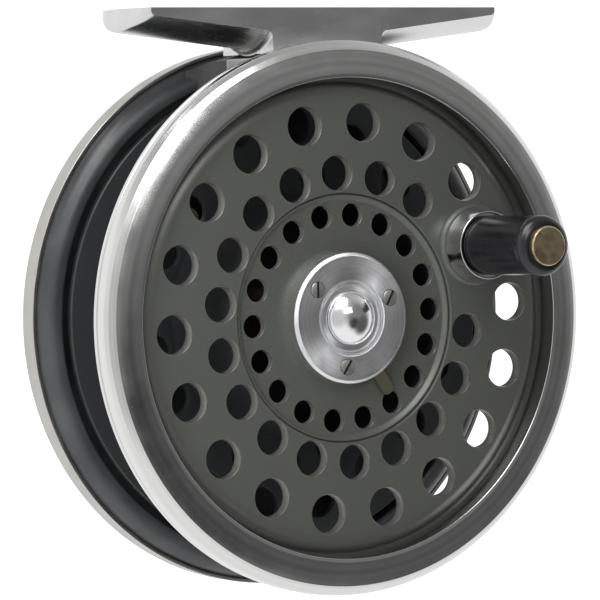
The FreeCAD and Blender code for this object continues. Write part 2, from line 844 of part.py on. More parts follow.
def make_spring_posts():
    """Two slit posts that hold the upper ends of the leaf springs."""
    body = new_body("spring_posts")
    for side in ("-", ""):
        for radius, front, back in (("spring_post_radius", "pawl_front", "back_inner"),
                                    ("spring_post_stem", "back_inner - 0.1", "post_socket_back")):
            sketch = front_sketch(body, front)
            draw_circle(sketch, f"{side}spring_post_across", "spring_post_up", radius)
            pad(body, sketch, f"{back} - ({front})")
    for side in ("-", ""):
        slit = front_sketch(body, "pawl_front - 1")
        inner = f"{side}(spring_post_across + 0.05)"
        outer = f"{side}(spring_post_across + 0.05 + spring_thick)"
        draw_box(slit, inner, outer, "spring_post_up - 3", "spring_post_up + 0.5")
        cut_back(body, slit, "pawl_back - pawl_front + 1")


def make_leaf(label, side):
    """One leaf spring, from its post down to the outer flank of the pawl."""
    body = new_body(label)
    sketch = front_sketch(body, "pawl_front + 0.1")
    flank = "(pivot_across + lever_half + 0.45)"
    root = "(spring_post_across + 0.05)"
    corners = [
        (root, "spring_post_up + 0.5"),
        (f"{root} + spring_thick", "spring_post_up + 0.5"),
        (f"{root} + spring_thick", "9.5"),
        (f"{flank} + spring_thick + 0.3", "0.6"),
        (flank, "0.6"),
        (flank, "1.6"),
        (root, "9.5"),
    ]
    sign = "" if side > 0 else "-"
    draw_outline(sketch, [(f"{sign}({across})", up) for across, up in corners])
    pad(body, sketch, "pawl_back - pawl_front - 0.2")


def make_regulator():
    """The eccentric on its shaft, and the knurled knob outside the back plate that turns it."""
    shaft = new_body("regulator_shaft", up="cam_up")
    stem = front_sketch(shaft, "pawl_front")
    draw_circle(stem, "0", "0", "shaft_radius")
    pad(shaft, stem, "knob_disc_back - 0.4 - pawl_front")
    cam = front_sketch(shaft, "pawl_front")
    draw_circle(cam, "0", "cam_throw", "cam_radius")
    pad(shaft, cam, "pawl_back - pawl_front")
    knob = new_body("regulator_knob", up="cam_up")
    revolve(knob, [
        ("back_outer + 0.2", "shaft_radius"),
        ("back_outer + 0.2", "knob_disc - 0.3"),
        ("back_outer + 0.5", "knob_disc"),
        ("knob_disc_back - 0.5", "knob_disc"),
        ("knob_disc_back", "knob_disc - 0.5"),
        ("knob_disc_back", "shaft_radius"),
    ])
    groove = front_sketch(knob)
    draw_circle(groove, "knob_disc + 0.35", "0", "flute_radius")
    repeat_round(knob, cut_through(knob, groove), KNOB_FLUTES)


# ---------------------------------------------------------------- making and writing

def check_document():
    """Stops if anything in the document failed or a piece is not a sound solid."""
    for item in doc.Objects:
        if "Invalid" in item.State or "Error" in item.State:
            raise RuntimeError(f"{item.Label} failed: {item.State}")
    for body in pieces:
        if body.Shape.isNull() or not body.Shape.isValid() or not body.Shape.Solids:
            raise RuntimeError(f"{body.Label} is not a sound solid")


def write_pieces():
    """Writes one STEP file for each piece."""
    os.makedirs("parts", exist_ok=True)
    for body in pieces:
        body.Shape.exportStep(f"parts/{body.Label}.step")
        box = body.Shape.BoundBox
        print(f"{body.Label:20s} {len(body.Shape.Solids)} solid(s) {body.Shape.Volume:9.1f} mm3  "
              f"x {box.XMin:6.1f} {box.XMax:6.1f}  y {box.YMin:6.1f} {box.YMax:6.1f}  "
              f"z {box.ZMin:6.1f} {box.ZMax:6.1f}")


fill_sheet()
make_front_plate()
make_rim()
make_drum()
make_rear_plate()
make_bush()
make_gear()
make_gear_screws()
make_hub_cap()
make_cap_screws()
make_dome()
make_latch()
make_latch_spring()
make_collar()
make_handle_washer()
make_handle_spindle()
make_handle_knob()
make_frame()
make_foot()
make_foot_screws()
make_spindle()
make_spindle_screw()
make_pawl("check_pawl_left", -1)
make_pawl("check_pawl_right", 1)
make_pawl_posts()
make_spring_posts()
make_leaf("check_spring_left", -1)
make_leaf("check_spring_right", 1)
make_regulator()
doc.recompute()
check_document()
write_pieces()
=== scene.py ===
import math

import bmesh
import bpy
from mathutils import Matrix, Vector
from mathutils.geometry import delaunay_2d_cdt


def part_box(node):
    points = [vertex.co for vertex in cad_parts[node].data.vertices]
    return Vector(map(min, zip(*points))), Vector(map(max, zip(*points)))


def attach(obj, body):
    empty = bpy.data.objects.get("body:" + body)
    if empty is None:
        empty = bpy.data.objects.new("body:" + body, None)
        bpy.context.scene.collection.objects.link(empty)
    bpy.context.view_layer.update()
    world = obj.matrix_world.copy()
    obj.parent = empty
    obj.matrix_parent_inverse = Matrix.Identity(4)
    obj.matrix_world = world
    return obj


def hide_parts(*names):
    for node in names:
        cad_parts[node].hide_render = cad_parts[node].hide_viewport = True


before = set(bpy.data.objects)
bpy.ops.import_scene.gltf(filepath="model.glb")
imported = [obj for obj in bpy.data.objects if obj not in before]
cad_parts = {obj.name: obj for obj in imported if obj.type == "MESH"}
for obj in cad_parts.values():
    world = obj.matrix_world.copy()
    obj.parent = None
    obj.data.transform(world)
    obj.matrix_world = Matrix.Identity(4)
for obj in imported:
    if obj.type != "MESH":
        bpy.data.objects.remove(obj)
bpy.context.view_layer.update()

# ---------------------------------------------------------------- Where the reel stands
# Every piece is drawn about the spool's axis: across, depth behind the spool's front face, and up,
# all in millimetres. The frame says where that axis and that face are.
MM = 0.001
RIM_BACK = 3.2
drum_low, drum_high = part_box("spool_drum")
AXIS_UP = (drum_low[2] + drum_high[2]) / 2
FACE_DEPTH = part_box("spool_rim")[1][1] - RIM_BACK * MM


def at(across, depth, up):
    """A point of the reel, from millimetres about the spool's axis to metres in the frame."""
    return Vector((across * MM, FACE_DEPTH + depth * MM, AXIS_UP + up * MM))


def polar(radius, turn):
    """Across and up of a point at a radius and an angle in degrees, seen from the front."""
    return radius * math.cos(math.radians(turn)), radius * math.sin(math.radians(turn))


# ---------------------------------------------------------------- The camera
# A long lens, a little above the axis and to the left of the handle side.
CAMERA_LENS = 240.05
CAMERA_PLACE = (-0.34552, -0.5762, -0.02507)
CAMERA_YAW, CAMERA_PITCH, CAMERA_ROLL = (math.radians(angle) for angle in (30.831, -2.016, -1.302))

forward = Vector((math.sin(CAMERA_YAW) * math.cos(CAMERA_PITCH),
                  math.cos(CAMERA_YAW) * math.cos(CAMERA_PITCH), math.sin(CAMERA_PITCH)))
level = Vector((math.cos(CAMERA_YAW), -math.sin(CAMERA_YAW), 0))
upright = level.cross(forward)
right = level * math.cos(CAMERA_ROLL) + upright * math.sin(CAMERA_ROLL)
top = upright * math.cos(CAMERA_ROLL) - level * math.sin(CAMERA_ROLL)
camera = bpy.data.objects.new("camera", bpy.data.cameras.new("camera"))
camera.data.sensor_width = 36
camera.data.lens = CAMERA_LENS
camera.data.clip_start = 0.02
camera.matrix_world = Matrix.Translation(CAMERA_PLACE) @ Matrix((right, top, -forward)).transposed().to_4x4()
bpy.context.scene.collection.objects.link(camera)
bpy.context.scene.camera = camera

# ---------------------------------------------------------------- The frame
# One aluminium casting, turned after casting: a solid back plate, a bright outer band, a rounded black
# bead inside it, and a short bridge at the top that carries the foot.
FINE_TURN = 320
SHARP_EDGE = 38


def rounded(corners):
    """Replaces each corner (depth, radius, rounding) by a small arc, with a holding point each side."""
    arc_step, longest_hold = 12, 0.06
    drawn = []
    for index, corner in enumerate(corners):
        here = Vector(corner[:2])
        if len(corner) == 2:
            drawn.append(tuple(here))
            continue
        rounding = corner[2]
        before = (Vector(corners[index - 1][:2]) - here).normalized()
        after = (Vector(corners[(index + 1) % len(corners)][:2]) - here).normalized()
        half = before.angle(after) / 2
        reach = rounding / math.tan(half)
        centre = here + (before + after).normalized() * (rounding / math.sin(half))
        first = here + before * reach - centre
        last = here + after * reach - centre
        swing = first.angle_signed(last)
        steps = max(3, int(abs(math.degrees(swing)) / arc_step))
        hold = min(longest_hold, rounding / 2)
        drawn.append(tuple(centre + first + before * hold))
        for step in range(steps + 1):
            drawn.append(tuple(centre + Matrix.Rotation(-swing * step / steps, 2) @ first))
        drawn.append(tuple(centre + last + after * hold))
    return drawn


def finish_mesh(name, mesh_data, materials):
    """Turns a bmesh into a smooth-shaded object in the scene, with its hard edges kept hard."""
    bmesh.ops.remove_doubles(mesh_data, verts=mesh_data.verts, dist=1e-7)
    bmesh.ops.recalc_face_normals(mesh_data, faces=mesh_data.faces)
    mesh = bpy.data.meshes.new(name)
    mesh_data.to_mesh(mesh)
    mesh_data.free()
    for face in mesh.polygons:
        face.use_smooth = True
    mesh.set_sharp_from_angle(angle=math.radians(SHARP_EDGE))
    for material in materials:
        mesh.materials.append(material)
    piece = bpy.data.objects.new(name, mesh)
    bpy.context.scene.collection.objects.link(piece)
    return piece


def ring_points(mesh_data, depth, radius, steps, centre=(0, 0)):
    """A ring of vertices about an axis, or a single one where the radius is nothing."""
    if radius < 1e-6:
        return [mesh_data.verts.new(at(centre[0], depth, centre[1]))]
    turns = (2 * math.pi * step / steps for step in range(steps))
    return [mesh_data.verts.new(at(centre[0] + radius * math.cos(turn), depth,
                                   centre[1] + radius * math.sin(turn))) for turn in turns]


def join_rings(mesh_data, one, other):
    """Faces between two rings of vertices, or between a ring and a single vertex."""
    if len(one) == 1 and len(other) == 1:
        return
    steps = max(len(one), len(other))
    for step in range(steps):
        ahead = (step + 1) % steps
        corners = [one[step % len(one)], one[ahead % len(one)],
                   other[ahead % len(other)], other[step % len(other)]]
        mesh_data.faces.new(list(dict.fromkeys(corners)))


def paint_faces(mesh_data, rule, centre=(0, 0)):
    """Gives each face the material that the rule names for its depth and radius."""
    middle = at(centre[0], 0, centre[1])
    for face in mesh_data.faces:
        place = (face.calc_center_median() - middle) / MM
        face.material_index = rule(place.y, math.hypot(place.x, place.z))


def turned(name, corners, materials, centre=(0, 0), steps=FINE_TURN, rule=None):
    """A piece turned on a lathe from a closed profile. The rule gives a face's material from its place."""
    mesh_data = bmesh.new()
    rings = [ring_points(mesh_data, depth, radius, steps, centre) for depth, radius in rounded(corners)]
    for index, ring in enumerate(rings):
        join_rings(mesh_data, rings[index - 1], ring)
    if rule is not None:
        paint_faces(mesh_data, rule, centre)
    return finish_mesh(name, mesh_data, materials)


def new_finish(name, colour, metallic, roughness):
    """A material with its shader's plain numbers set, ready for its detail."""
    material = bpy.data.materials.new(name)
    material.use_nodes = True
    shader = material.node_tree.nodes["Principled BSDF"]
    shader.inputs["Base Color"].default_value = (*colour, 1)
    shader.inputs["Metallic"].default_value = metallic
    shader.inputs["Roughness"].default_value = roughness
    return material, material.node_tree.nodes, material.node_tree.links, shader


def place_node(nodes, links, centre=(0, 0)):
    """The place of a point of the surface, counted from an axis of the reel."""
    where = nodes.new("ShaderNodeTexCoord")
    shift = nodes.new("ShaderNodeVectorMath")
    shift.operation = "SUBTRACT"
    shift.inputs[1].default_value = at(centre[0], 0, centre[1])
    links.new(where.outputs["Object"], shift.inputs[0])
    return shift.outputs[0]


def speckle(nodes, links, place, grain, detail=2.0, stretch=(1, 1, 1)):
    """Noise with a grain in millimetres, drawn out along any axis by a stretch."""
    scale = nodes.new("ShaderNodeVectorMath")
    scale.operation = "MULTIPLY"
    scale.inputs[1].default_value = tuple(1 / (grain * MM * part) for part in stretch)
    links.new(place, scale.inputs[0])
    noise = nodes.new("ShaderNodeTexNoise")
    noise.inputs["Scale"].default_value = 1
    noise.inputs["Detail"].default_value = detail
    links.new(scale.outputs[0], noise.inputs["Vector"])
    return noise.outputs["Fac"]


def ring_marks(nodes, links, place, grain, detail=3.0):
    """Noise that changes only with the radius: the fine rings that a lathe tool leaves."""
    flat = nodes.new("ShaderNodeVectorMath")
    flat.operation = "MULTIPLY"
    flat.inputs[1].default_value = (1, 0, 1)
    radius = nodes.new("ShaderNodeVectorMath")
    radius.operation = "LENGTH"
    count = nodes.new("ShaderNodeMath")
    count.operation = "MULTIPLY"
    count.inputs[1].default_value = 1 / (grain * MM)
    noise = nodes.new("ShaderNodeTexNoise")
    noise.noise_dimensions = "1D"
    noise.inputs["Scale"].default_value = 1
    noise.inputs["Detail"].default_value = detail
    links.new(place, flat.inputs[0])
    links.new(flat.outputs[0], radius.inputs[0])
    links.new(radius.outputs["Value"], count.inputs[0])
    links.new(count.outputs[0], noise.inputs["W"])
    return noise.outputs["Fac"]


def spread(nodes, links, source, low, high):
    """Turns a noise, which mostly stays between 0.3 and 0.7, into a range such as a roughness."""
    remap = nodes.new("ShaderNodeMapRange")
    remap.inputs["From Min"].default_value = 0.3
    remap.inputs["From Max"].default_value = 0.7
    remap.inputs["To Min"].default_value = low
    remap.inputs["To Max"].default_value = high
    links.new(source, remap.inputs["Value"])
    return remap.outputs["Result"]


def tint(nodes, links, source, dark, light, start=0.35, stop=0.65):
    """Turns a noise into colours between two shades."""
    ramp = nodes.new("ShaderNodeValToRGB")
    ramp.color_ramp.elements[0].position = start
    ramp.color_ramp.elements[0].color = (*dark, 1)
    ramp.color_ramp.elements[1].position = stop
    ramp.color_ramp.elements[1].color = (*light, 1)
    links.new(source, ramp.inputs["Fac"])
    return ramp.outputs["Color"]


def raise_surface(nodes, links, shader, *layers):
    """Stacks bumps on a shader. Each layer is a noise, a height in millimetres and a strength."""
    normal = None
    for source, height, strength in layers:
        bump = nodes.new("ShaderNodeBump")
        bump.inputs["Distance"].default_value = height * MM
        bump.inputs["Strength"].default_value = strength
        links.new(source, bump.inputs["Height"])
        if normal is not None:
            links.new(normal, bump.inputs["Normal"])
        normal = bump.outputs["Normal"]
    links.new(normal, shader.inputs["Normal"])


def black_enamel():
    """Semi-gloss black stove enamel, a little uneven."""
    material, nodes, links, shader = new_finish("black_enamel", (0.02, 0.021, 0.022), 0.0, 0.36)
    place = place_node(nodes, links)
    cloud = speckle(nodes, links, place, 9)
    shades = tint(nodes, links, cloud, (0.014, 0.015, 0.016), (0.027, 0.028, 0.029))
    links.new(shades, shader.inputs["Base Color"])
    links.new(spread(nodes, links, speckle(nodes, links, place, 3), 0.3, 0.42), shader.inputs["Roughness"])
    raise_surface(nodes, links, shader, (speckle(nodes, links, place, 0.25), 0.02, 0.12))
    shader.inputs["Coat Weight"].default_value = 0.15
    shader.inputs["Coat Roughness"].default_value = 0.25
    return material


def satin_enamel(name, colour):
    """Dark metallic enamel with a fine sparkle of flake."""
    material, nodes, links, shader = new_finish(name, colour, 0.45, 0.3)
    place = place_node(nodes, links)
    flake = speckle(nodes, links, place, 0.11, 1.0)
    cloud = speckle(nodes, links, place, 14)
    dark, light = (tuple(part * share for part in colour) for share in (0.8, 1.25))
    links.new(tint(nodes, links, flake, dark, light, 0.3, 0.72), shader.inputs["Base Color"])
    links.new(spread(nodes, links, cloud, 0.3, 0.36), shader.inputs["Roughness"])
    ripple = speckle(nodes, links, place, 0.9)
    raise_surface(nodes, links, shader, (flake, 0.012, 0.22), (ripple, 0.01, 0.1))
    return material


def turned_aluminium(name, colour, roughness, marks, centre=(0, 0), swirl=0.0, brushed=0.4):
    """Bare aluminium off the lathe: fine rings, small scratches, and a swirl of hand polish."""
    material, nodes, links, shader = new_finish(name, colour, 1.0, roughness)
    shader.inputs["Anisotropic"].default_value = brushed
    grooves = nodes.new("ShaderNodeTangent")
    grooves.direction_type = "RADIAL"
    grooves.axis = "Y"
    links.new(grooves.outputs["Tangent"], shader.inputs["Tangent"])
    place = place_node(nodes, links, centre)
    rings = ring_marks(nodes, links, place, 0.09)
    bands = ring_marks(nodes, links, place, 0.8, 1.0)
    smears = speckle(nodes, links, place, 5, 3)
    dull = tuple(part * 0.86 for part in colour)
    links.new(tint(nodes, links, bands, dull, colour), shader.inputs["Base Color"])
    links.new(spread(nodes, links, smears, roughness * 0.75, roughness * 1.35), shader.inputs["Roughness"])
    polish = speckle(nodes, links, place, 1.6, 3)
    raise_surface(nodes, links, shader, (rings, 0.01, marks), (polish, 0.02, swirl))
    return material


enamel_black = black_enamel()
enamel_satin = satin_enamel("satin_enamel", (0.066, 0.069, 0.061))
band_metal = turned_aluminium("band_aluminium", (0.56, 0.55, 0.52), 0.36, 0.2)

SPINDLE_HOLE = 2.1
BACK_FACE, BACK_INSIDE = 28.0, 26.3
BAND_FRONT, BAND_ROUND, BAND_EDGE = 24.0, 45.8, 45.1
BEAD_FRONT, BEAD_RING, BEAD_ROUND, BEAD_FOOT = 22.0, 42.0, 3.15, 41.1


def frame_finish(depth, radius):
    """Black inside, bare metal round the outer band, satin enamel on the back."""
    if radius > BAND_EDGE - 0.03 and depth < BACK_FACE - 0.05:
        return 1
    return 2 if depth > BACK_FACE - 0.5 else 0


frame_profile = [(BACK_FACE, SPINDLE_HOLE), (BACK_FACE, BAND_ROUND, 0.5), (BAND_FRONT, BAND_ROUND, 0.12),
                 (BAND_FRONT + 0.05, BAND_EDGE + 0.15, 0.1), (BAND_FRONT + 0.4, BAND_EDGE)]
for turn in range(70, -13, -4):
    inward, outward = polar(BEAD_ROUND, turn)
    frame_profile.append((BEAD_FRONT + BEAD_ROUND - inward, BEAD_RING + outward))
frame_profile += [(BEAD_FRONT + 0.4, BEAD_FOOT, 0.15), (BACK_INSIDE, BEAD_FOOT, 0.5),
                  (BACK_INSIDE, SPINDLE_HOLE)]
frame_shell = turned("frame_shell", frame_profile, [enamel_black, band_metal, enamel_satin],
                     rule=frame_finish)
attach(frame_shell, "frame")
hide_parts("reel_frame")

BRIDGE_FRONT, BRIDGE_BACK = 4.0, 24.4
BRIDGE_HALF = 11.2
BRIDGE_TOP, BRIDGE_CROWN, BRIDGE_UNDER = 44.0, 44.75, 41.2
BRIDGE_PAINTED_FROM = 18.2
FLARE_START, FLARE_END, FLARE_WIDTH = 17.0, 22.4, 5.4


def bridge_half_width(depth):
    """Half the bridge's width: straight, then flaring in a hollow curve where it meets the bead."""
    if depth < FLARE_START:
        return BRIDGE_HALF
    share = min(1, (depth - FLARE_START) / (FLARE_END - FLARE_START))
    return BRIDGE_HALF + FLARE_WIDTH * (1 - math.sqrt(1 - share ** 2))


def make_bridge():
    """The chord of metal under the foot, flat on top and hollow underneath to clear the spool."""
    mesh_data = bmesh.new()
    slices, steps = 37, 24
    depths = [BRIDGE_FRONT] + [BRIDGE_FRONT + 0.5 + 0.5 * index for index in range(slices)]
    sections = []
    for depth in depths + [BRIDGE_BACK - 1.0, BRIDGE_BACK]:
        half = bridge_half_width(depth)
        spots = [half * (1 - 2 * step / steps) for step in range(steps + 1)]
        section = [at(across, depth, min(BRIDGE_TOP, math.sqrt(BRIDGE_CROWN ** 2 - across ** 2)))
                   for across in spots]
        section += [at(across, depth, math.sqrt(BRIDGE_UNDER ** 2 - across ** 2))
                    for across in reversed(spots)]
        sections.append([mesh_data.verts.new(point) for point in section])
    for one, other in zip(sections, sections[1:]):
        join_rings(mesh_data, one, other)
    mesh_data.faces.new(sections[0])
    mesh_data.faces.new(sections[-1])
    return mesh_data


def soften(piece, width):
    """Rounds the piece's hard edges a little, keeping its flats flat."""
    bevel = piece.modifiers.new("edges", "BEVEL")
    bevel.width = width * MM
    bevel.segments = 3
    bevel.limit_method = "ANGLE"
    bevel.angle_limit = math.radians(40)
    bevel.harden_normals = True


bridge_mesh = make_bridge()
paint_faces(bridge_mesh, lambda depth, radius: 1 if depth < BRIDGE_PAINTED_FROM else 0)
frame_bridge = finish_mesh("frame_bridge", bridge_mesh, [enamel_black, band_metal])
soften(frame_bridge, 0.15)
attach(frame_bridge, "frame")

# ---------------------------------------------------------------- The foot
# Milled from a bar of aluminium and polished along its length: a block with two tapering wings, flat on
# top, round underneath, with rounded ends. Two screws hold it from inside the bridge.
FOOT_MIDDLE = 12.0
FOOT_HALF_DEPTH = 8.25
FOOT_ROOT = 10.6
FOOT_END = 35.8
END_ROUND = 14.86
BELLY_ROUND = 13.55
BELLY_SAG = 2.8
WING_FILLET = 1.15
WING_TAPER = math.tan(math.radians(6.8))
EDGE_REACH, EDGE_THICKNESS = 33.3, 1.24
TIP_ROUND = 0.7
FOOT_TOP = 51.5
BLOCK_STEPS, ROUND_STEPS, WING_STEPS, FOOT_ROWS = 6, 8, 20, 28


def foot_end(beside):
    """How far the foot reaches along its length, at a distance beside its middle line."""
    return FOOT_END - END_ROUND + math.sqrt(END_ROUND ** 2 - beside ** 2)


def belly(across, beside):
    """The height of a wing's underside."""
    edge = EDGE_THICKNESS + WING_TAPER * (EDGE_REACH - abs(across))
    return FOOT_TOP - edge - (math.sqrt(BELLY_ROUND ** 2 - beside ** 2) - (BELLY_ROUND - BELLY_SAG))


def foot_column(beside):
    """The underside's points along one line of the foot, from the middle of the block to the wing's end."""
    points = [(FOOT_ROOT * step / BLOCK_STEPS, BRIDGE_TOP) for step in range(BLOCK_STEPS + 1)]
    start = FOOT_ROOT + WING_FILLET
    shoulder = belly(start, beside)
    for step in range(ROUND_STEPS + 1):
        turn = math.pi / 2 * step / ROUND_STEPS
        points.append((start - WING_FILLET * math.cos(turn),
                       shoulder - WING_FILLET * (1 - math.sin(turn))))
    end = foot_end(beside)
    for step in range(1, WING_STEPS + 1):
        across = start + (end - TIP_ROUND - start) * step / WING_STEPS
        points.append((across, belly(across, beside)))
    for step in range(1, ROUND_STEPS + 1):
        turn = math.pi / 2 * step / ROUND_STEPS
        across = end - TIP_ROUND * (1 - math.sin(turn))
        points.append((across, belly(across, beside) + TIP_ROUND * (1 - math.cos(turn))))
    return points


def make_foot():
    """The whole foot as one closed skin: underside, top, long edges and ends."""
    mesh_data = bmesh.new()
    under, over = [], []
    for row in range(FOOT_ROWS + 1):
        beside = -FOOT_HALF_DEPTH + 2 * FOOT_HALF_DEPTH * row / FOOT_ROWS
        side = foot_column(beside)
        line = [(-across, up) for across, up in reversed(side[1:])] + side
        depth = FOOT_MIDDLE + beside
        under.append([mesh_data.verts.new(at(across, depth, up)) for across, up in line])
        over.append([mesh_data.verts.new(at(across, depth, FOOT_TOP)) for across, up in line])
    for row in range(FOOT_ROWS):
        for column in range(len(under[0]) - 1):
            ahead = column + 1
            mesh_data.faces.new([under[row][column], under[row][ahead],
                                 under[row + 1][ahead], under[row + 1][column]])
            if (over[row][column].co - over[row][ahead].co).length > 1e-9:
                mesh_data.faces.new([over[row][column], over[row + 1][column],
                                     over[row + 1][ahead], over[row][ahead]])
        for column in (0, -1):
            mesh_data.faces.new([under[row][column], under[row + 1][column],
                                 over[row + 1][column], over[row][column]])
    for row in (0, FOOT_ROWS):
        for column in range(len(under[0]) - 1):
            corners = [under[row][column], under[row][column + 1], over[row][column + 1], over[row][column]]
            if (corners[2].co - corners[3].co).length < 1e-9:
                corners.pop()
            mesh_data.faces.new(corners)
    return mesh_data


def foot_aluminium():
    """Aluminium polished lengthwise: long fine grain, soft smears and a few nicks."""
    material, nodes, links, shader = new_finish("foot_aluminium", (0.8, 0.8, 0.8), 1.0, 0.26)
    place = place_node(nodes, links)
    grain = speckle(nodes, links, place, 0.12, 3, (40, 1, 1))
    smears = speckle(nodes, links, place, 4, 3, (3, 1, 1))
    links.new(tint(nodes, links, smears, (0.70, 0.70, 0.71), (0.77, 0.77, 0.77)), shader.inputs["Base Color"])
    links.new(spread(nodes, links, smears, 0.22, 0.32), shader.inputs["Roughness"])
    nicks = speckle(nodes, links, place, 0.5, 3)
    raise_surface(nodes, links, shader, (grain, 0.004, 0.05), (nicks, 0.006, 0.04))
    return material


foot = finish_mesh("foot", make_foot(), [foot_aluminium()])
soften(foot, 0.3)
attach(foot, "frame")
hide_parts("reel_foot")

# ---------------------------------------------------------------- Spindle, its screw and the foot's screws
# The steel spindle is fixed in the middle of the back plate by a slotted screw. Its long journal is
# hidden by the bush; the screw's head shows on the back.


def machined(name, colour, roughness, grain=0.3, stain=0.15):
    """Plain machined metal: a fine grain with darker, duller stains."""
    material, nodes, links, shader = new_finish(name, colour, 1.0, roughness)
    place = place_node(nodes, links)
    cloud = speckle(nodes, links, place, 1.8, 4)
    dull = tuple(part * (1 - stain) for part in colour)
    links.new(tint(nodes, links, cloud, dull, colour), shader.inputs["Base Color"])
    links.new(spread(nodes, links, cloud, roughness * 1.3, roughness * 0.8), shader.inputs["Roughness"])
    raise_surface(nodes, links, shader, (speckle(nodes, links, place, grain, 2), 0.01, 0.2))
    return material


def dress(node, material):
    """Gives a piece that comes straight from the frame its finish."""
    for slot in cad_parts[node].material_slots:
        slot.material = material


steel = machined("steel", (0.56, 0.56, 0.57), 0.28)
for node in ("spindle", "foot_screws"):
    dress(node, steel)
# Dark rough metal for the floor of each screw slot: painted shade, so that the slots read dark.
slot_painted_shade = machined("slot_painted_shade", (0.045, 0.04, 0.035), 0.7)


def half_head(mesh_data, centre, levels, radius, slot_turn, slot_half, steps):
    """Half of a screw's head, on one side of its slot. Each level is a depth and how far it is drawn in."""
    begin = math.asin(slot_half / radius)
    turns = [begin + (math.pi - 2 * begin) * step / steps for step in range(steps + 1)]
    loops = []
    for depth, shrink in levels:
        reach = radius - shrink
        loop = []
        for turn in turns:
            spot = Vector((reach * math.cos(turn), max(reach * math.sin(turn), slot_half)))
            spot = Matrix.Rotation(math.radians(slot_turn), 2) @ spot
            loop.append(mesh_data.verts.new(at(centre[0] + spot.x, depth, centre[1] + spot.y)))
        loops.append(loop)
    for one, other in zip(loops, loops[1:]):
        join_rings(mesh_data, one, other)
    mesh_data.faces.new(loops[-1])
    mesh_data.faces.new(loops[0])


def slotted_head(name, material, centre, front, back, radius, slot_turn, slot_half, slot_deep, gap=-0.02,
                 steps=64):
    """A round screw head cut by a straight slot, over a dark disc that reaches past the head by the gap: the
    disc is painted shade in the slot.
    """
    head_mesh = bmesh.new()
    facing = 1 if back > front else -1
    inset = min(0.12, radius * 0.1)
    levels = [(back, 0), (front + facing * inset, 0), (front + facing * inset * 0.3, inset * 0.3),
              (front, inset)]
    for side_turn in (slot_turn, slot_turn + 180):
        half_head(head_mesh, centre, levels, radius, side_turn, slot_half, steps // 2)
    head = finish_mesh(name, head_mesh, [material])
    disc_mesh = bmesh.new()
    slot_floor = front + facing * slot_deep
    reach = radius + gap
    rings = [ring_points(disc_mesh, depth, wide, steps, centre)
             for depth, wide in ((back, 0), (back, reach), (slot_floor, reach), (slot_floor, 0))]
    for one, other in zip(rings, rings[1:]):
        join_rings(disc_mesh, one, other)
    finish_mesh(name + "_slot", disc_mesh, [slot_painted_shade]).parent = head
    return head


back_screw = slotted_head("spindle_screw_head", steel, (0, 0), front=BACK_FACE + 1.1, back=BACK_FACE,
                          radius=4.2, slot_turn=30, slot_half=0.4, slot_deep=0.6)
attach(back_screw, "frame")
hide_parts("spindle_screw")

# ---------------------------------------------------------------- The check
# Two brass pawls on steel posts drop into a brass ratchet wheel behind the spool. Blued leaf springs,
# held in slit brass posts, press them home, and an eccentric on the regulator's shaft lifts them out.
brass_part = machined("machined_brass", (0.68, 0.50, 0.24), 0.3, 0.25, 0.3)
spring_blue = machined("blued_spring", (0.22, 0.24, 0.30), 0.3, 0.2, 0.25)
for node in ("check_pawl_left", "check_pawl_right", "spring_posts", "ratchet_gear"):
    dress(node, brass_part)
for node in ("check_spring_left", "check_spring_right", "latch_spring"):
    dress(node, spring_blue)
for node in ("pawl_posts", "gear_screws", "regulator_shaft"):
    dress(node, steel)

# ---------------------------------------------------------------- The regulator's knob
# An aluminium disc on the back, knurled round its edge and dished on its face. It is pressed on the end
# of the regulator's shaft, which carries the eccentric between the pawls.
REGULATOR_UP = 18.0
REGULATOR_ROUND = 5.0
FLUTES, FLUTE_DEPTH, FLUTE_STEPS = 24, 0.32, 12


def make_knurled_knob():
    """A disc whose edge is cut by shallow round flutes."""
    mesh_data = bmesh.new()
    steps = FLUTES * FLUTE_STEPS
    outline = []
    for step in range(steps):
        turn = 2 * math.pi * step / steps
        wave = 0.5 + 0.5 * math.cos(turn * FLUTES)
        outline.append((turn, REGULATOR_ROUND - FLUTE_DEPTH * wave ** 2))
    edge = [(28.2, -0.35), (28.35, -0.05), (28.5, 0), (30.95, 0), (31.2, -0.08), (31.35, -0.35), (31.4, -0.7),
            (31.4, -1.1)]
    dish = [(31.38, 3.5), (31.0, 3.2), (30.9, 2.9), (30.9, 0)]
    rings = []
    for depth, shrink in edge:
        rings.append([mesh_data.verts.new(at((reach + shrink) * math.cos(turn), depth,
                                             REGULATOR_UP + (reach + shrink) * math.sin(turn)))
                      for turn, reach in outline])
    for depth, radius in dish:
        rings.append(ring_points(mesh_data, depth, radius, steps, (0, REGULATOR_UP)))
    for one, other in zip(rings, rings[1:]):
        join_rings(mesh_data, one, other)
    mesh_data.faces.new(rings[0])
    return mesh_data


knob_metal = turned_aluminium("knob_aluminium", (0.78, 0.78, 0.77), 0.2, 0.25, (0, REGULATOR_UP))
regulator = finish_mesh("regulator_knob_turned", make_knurled_knob(), [knob_metal])
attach(regulator, "regulator")
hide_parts("regulator_knob")

# ---------------------------------------------------------------- The spool's drum and rear plate
# The drum is a plain enamelled tube. The rear plate is a disc drilled with rings of holes for lightness.
HOLE_TURN = 22.63
HOLE_STEP = 20.0
OUTER_RING, OUTER_HOLE = 32.55, 3.2
MIDDLE_RING, MIDDLE_HOLE = 24.0, 2.9
INNER_RING, INNER_HOLE = 17.13, 1.9
HOLE_EDGE = 0.12
HOLE_STEPS = 56


def ring_of_holes(radius, hole, first, count):
    """The places of a ring of holes, clockwise from the first."""
    return [(*polar(radius, first - HOLE_STEP * index), hole) for index in range(count)]


